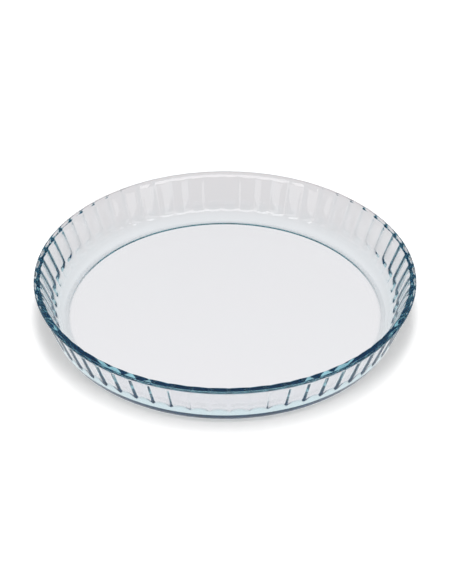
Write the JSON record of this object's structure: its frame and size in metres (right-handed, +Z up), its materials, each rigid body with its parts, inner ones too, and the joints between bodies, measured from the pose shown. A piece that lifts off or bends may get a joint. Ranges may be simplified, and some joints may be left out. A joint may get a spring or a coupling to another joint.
{
  "type": "fluted glass tart dish",
  "caption": "Round shallow glass baking dish with a leaning fluted wall, a smooth rim and a flat floor on a foot ring; holds a tart, pie or quiche in the oven.",
  "frame": {"origin": "centre of the foot ring, on the surface that the dish stands on", "axes": "+Z up along the axis of the dish, towards the open rim; X and Y are alike"},
  "size_m": [0.28, 0.28, 0.038],
  "materials": {
    "clear_glass": "clear pressed glass, smooth and glossy, with a blue-green tint where the light path in the glass is long"
  },
  "bodies": {
    "root": {"glass_dish": "clear_glass"}
  },
  "joints": []
}
